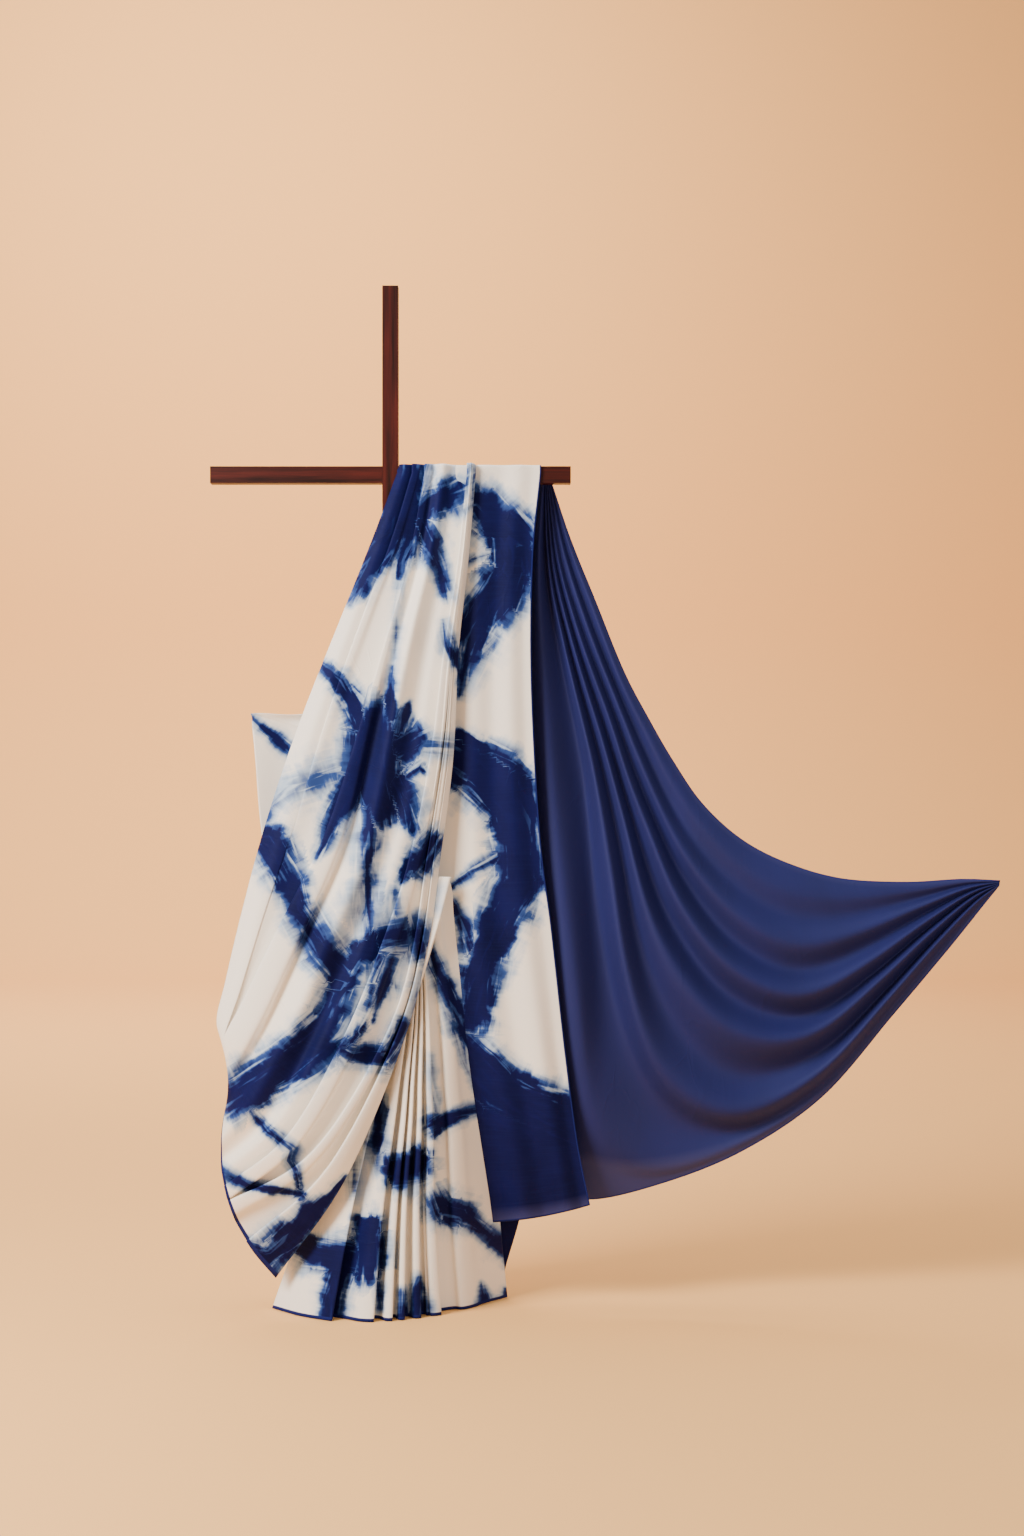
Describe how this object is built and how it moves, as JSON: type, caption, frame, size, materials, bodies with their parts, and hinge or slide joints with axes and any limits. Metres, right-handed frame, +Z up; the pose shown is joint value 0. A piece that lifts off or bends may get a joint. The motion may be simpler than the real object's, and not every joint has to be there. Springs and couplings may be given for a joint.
{
  "type": "shibori dyed saree on wooden cross stand",
  "caption": "Indigo and white shibori dyed saree draped in folds and pleats over an arm of a dark wooden cross stand, its plain end swagged out to the side.",
  "frame": {"origin": "on the floor under the middle of the post, on the underside of the base", "axes": "+X along the bar towards the draped arm, +Y away from the front, +Z up the post"},
  "size_m": [1.6599, 0.2664, 2.135],
  "materials": {
    "wood": "dark red-brown stained and lacquered hardwood",
    "dyed_cloth": "soft satin silk, off-white with bound and folded indigo dyeing, plain indigo at one end"
  },
  "bodies": {
    "root": {"base": "wood", "post": "wood", "arm_left": "wood", "arm_right": "wood", "saree": "dyed_cloth"}
  },
  "joints": []
}
